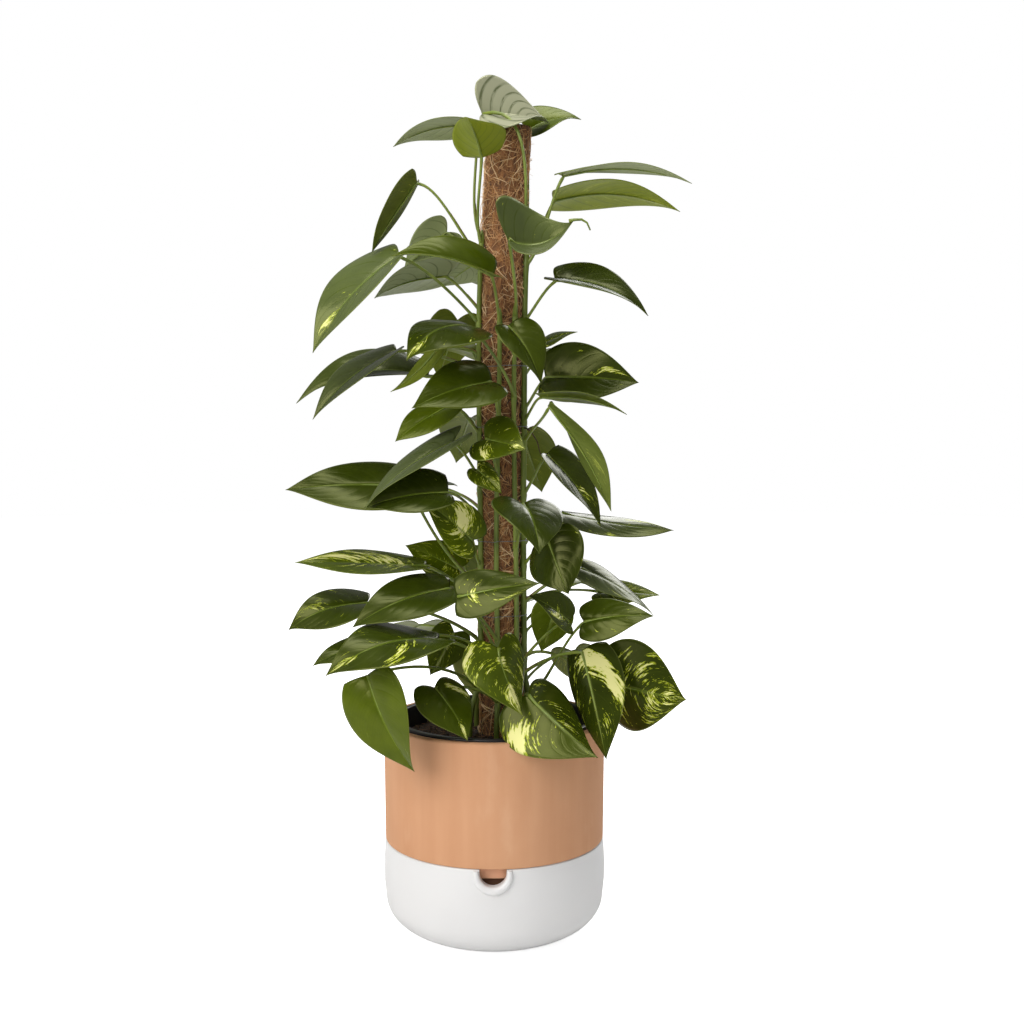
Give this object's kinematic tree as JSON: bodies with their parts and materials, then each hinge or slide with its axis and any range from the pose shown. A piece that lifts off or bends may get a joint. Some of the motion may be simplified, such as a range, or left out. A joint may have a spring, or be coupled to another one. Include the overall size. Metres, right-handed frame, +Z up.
{
  "type": "potted climbing plant",
  "caption": "Golden pothos climbing a coir pole, in a nursery pot inside a terracotta pot that stands on a glazed water reservoir with a pouring notch.",
  "frame": {"origin": "centre of the reservoir's flat base, on the axis of the pots", "axes": "+Z up along the axis of the pots and the pole, -Y towards the front with the pouring notch, +X towards the right seen from the front"},
  "size_m": [0.3864, 0.3232, 0.8457],
  "materials": {
    "glaze": "gloss white glaze",
    "terracotta": "unglazed, matt, softly mottled",
    "black_plastic": "moulded, half gloss",
    "peat": "crumbly, matt",
    "pole_wood": "bare",
    "coir": "coarse loose fibre",
    "wire": "thin bare wire",
    "stem": "smooth, satin",
    "leaf": "waxy gloss, green with yellow and cream streaks"
  },
  "bodies": {
    "root": {"reservoir": "glaze", "terracotta_pot": "terracotta", "nursery_pot": "black_plastic", "soil": "peat", "pole_core": "pole_wood", "pole_coir": "coir", "wire_tie_1": "wire", "wire_tie_2": "wire", "wire_tie_3": "wire", "wire_tie_4": "wire", "vine_left": "stem", "vine_front_left": "stem", "vine_front_right": "stem", "vine_right": "stem", "vine_back_right": "stem", "vine_back_left": "stem", "leaf_top_01": "leaf", "leaf_top_02": "leaf", "leaf_top_03": "leaf", "leaf_top_04": "leaf", "leaf_top_05": "leaf", "leaf_top_06": "leaf", "leaf_top_07": "leaf", "leaf_top_08": "leaf", "leaf_top_09": "leaf", "leaf_top_10": "leaf", "leaf_top_11": "leaf", "leaf_top_12": "leaf", "leaf_mid_01": "leaf", "leaf_mid_02": "leaf", "leaf_mid_03": "leaf", "leaf_mid_04": "leaf", "leaf_mid_05": "leaf", "leaf_mid_06": "leaf", "leaf_mid_07": "leaf", "leaf_mid_08": "leaf", "leaf_mid_09": "leaf", "leaf_mid_10": "leaf", "leaf_mid_11": "leaf", "leaf_mid_12": "leaf", "leaf_mid_13": "leaf", "leaf_mid_14": "leaf", "leaf_mid_15": "leaf", "leaf_mid_16": "leaf", "leaf_mid_17": "leaf", "leaf_mid_18": "leaf", "leaf_low_01": "leaf", "leaf_low_02": "leaf", "leaf_low_03": "leaf", "leaf_low_04": "leaf", "leaf_low_05": "leaf", "leaf_low_06": "leaf", "leaf_low_07": "leaf", "leaf_low_08": "leaf", "leaf_low_09": "leaf", "leaf_low_10": "leaf", "leaf_low_11": "leaf", "leaf_low_12": "leaf", "leaf_low_13": "leaf", "leaf_low_14": "leaf"}
  },
  "joints": []
}
